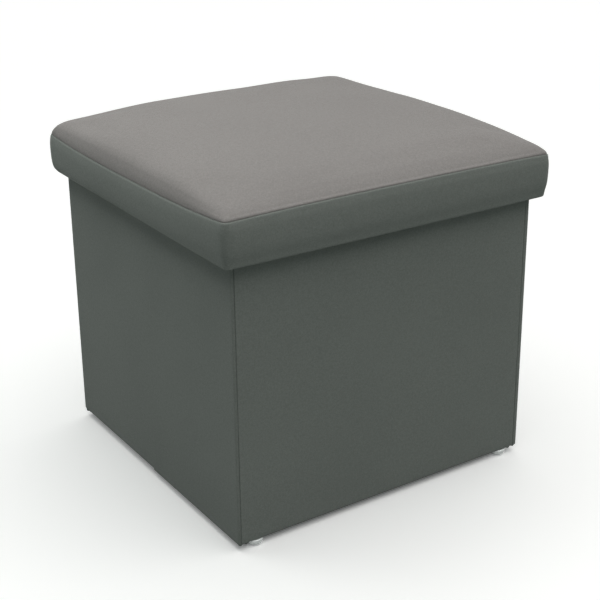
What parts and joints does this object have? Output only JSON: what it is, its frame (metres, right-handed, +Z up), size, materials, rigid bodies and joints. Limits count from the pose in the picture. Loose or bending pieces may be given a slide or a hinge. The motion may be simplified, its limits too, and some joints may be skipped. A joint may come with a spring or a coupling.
{
  "type": "folding storage ottoman",
  "caption": "Fold-flat storage ottoman: upholstered box with creased side walls, a swing-out base board and a lift-off cushioned lid on glide feet.",
  "frame": {"origin": "middle of the plan, on the floor", "axes": "+Z up, -Y towards the front wall, +X along the front wall to the right as seen from the front"},
  "size_m": [0.386, 0.38, 0.366],
  "materials": {
    "outer_cloth": "dark warm grey fine-napped upholstery cloth, matte",
    "lid_cloth": "the same warm grey napped upholstery cloth over foam, matte with a soft sheen",
    "lining_cloth": "black spun-bonded lining, matte",
    "board": "raw fibreboard",
    "foam": "open-cell cushion foam",
    "foot": "glossy silver-white nail-on glide",
    "steel": "plain bright wire",
    "hook_and_loop": "black hook-and-loop tape",
    "webbing": "black woven tape"
  },
  "bodies": {
    "back_wall": {"back_board": "board", "back_cover": "outer_cloth", "back_lining": "lining_cloth", "back_feet": "foot", "back_foot_nails": "steel"},
    "left_rear": {"left_rear_board": "board", "left_rear_cover": "outer_cloth", "left_rear_lining": "lining_cloth"},
    "left_front": {"left_front_board": "board", "left_front_cover": "outer_cloth", "left_front_lining": "lining_cloth"},
    "right_rear": {"right_rear_board": "board", "right_rear_cover": "outer_cloth", "right_rear_lining": "lining_cloth"},
    "right_front": {"right_front_board": "board", "right_front_cover": "outer_cloth", "right_front_lining": "lining_cloth"},
    "front_wall": {"front_board": "board", "front_cover": "outer_cloth", "front_lining": "lining_cloth", "front_feet": "foot", "front_foot_nails": "steel", "front_catch_strip": "hook_and_loop"},
    "base": {"base_board": "board", "base_cover": "lining_cloth", "base_hinge_tape": "webbing", "base_catch_strip": "hook_and_loop", "base_pull_ribbon": "webbing"},
    "lid": {"lid_board": "board", "lid_rim_front": "board", "lid_rim_back": "board", "lid_rim_left": "board", "lid_rim_right": "board", "lid_side_padding": "foam", "lid_foam": "foam", "lid_band": "lid_cloth", "lid_top_panel": "lid_cloth", "lid_liner": "lining_cloth", "lid_staples": "steel"}
  },
  "joints": [
    {"name": "lid_lift", "type": "slide", "parent": "back_wall", "child": "lid", "axis": [0, 0, 1], "range_m": [0, 0.35]},
    {"name": "wall_fold", "type": "hinge", "parent": "back_wall", "child": "left_rear", "pos_m": [-0.1628, 0.159, 0], "axis": [0, 0, -1], "range_deg": [-88.8, 0]},
    {"name": "left_crease", "type": "hinge", "parent": "left_rear", "child": "left_front", "pos_m": [-0.178, 0, 0], "axis": [0, 0, 1], "range_deg": [-177.6, 0]},
    {"name": "front_corner", "type": "hinge", "parent": "left_front", "child": "front_wall", "pos_m": [-0.1628, -0.159, 0], "axis": [0, 0, -1], "range_deg": [-88.8, 0]},
    {"name": "right_corner", "type": "hinge", "parent": "back_wall", "child": "right_rear", "pos_m": [0.1628, 0.159, 0], "axis": [0, 0, 1], "range_deg": [-88.8, 0]},
    {"name": "right_crease", "type": "hinge", "parent": "right_rear", "child": "right_front", "pos_m": [0.178, 0, 0], "axis": [0, 0, -1], "range_deg": [-177.6, 0]},
    {"name": "base_swing", "type": "hinge", "parent": "back_wall", "child": "base", "pos_m": [0, 0.1757, 0.0069], "axis": [-1, 0, 0], "range_deg": [-266.4, 0]}
  ],
  "couplings": [
    {"joint": "left_crease", "follows": "wall_fold", "ratio": 2},
    {"joint": "front_corner", "follows": "wall_fold", "ratio": 1},
    {"joint": "right_corner", "follows": "wall_fold", "ratio": 1},
    {"joint": "right_crease", "follows": "wall_fold", "ratio": 2},
    {"joint": "base_swing", "follows": "wall_fold", "ratio": 3}
  ]
}
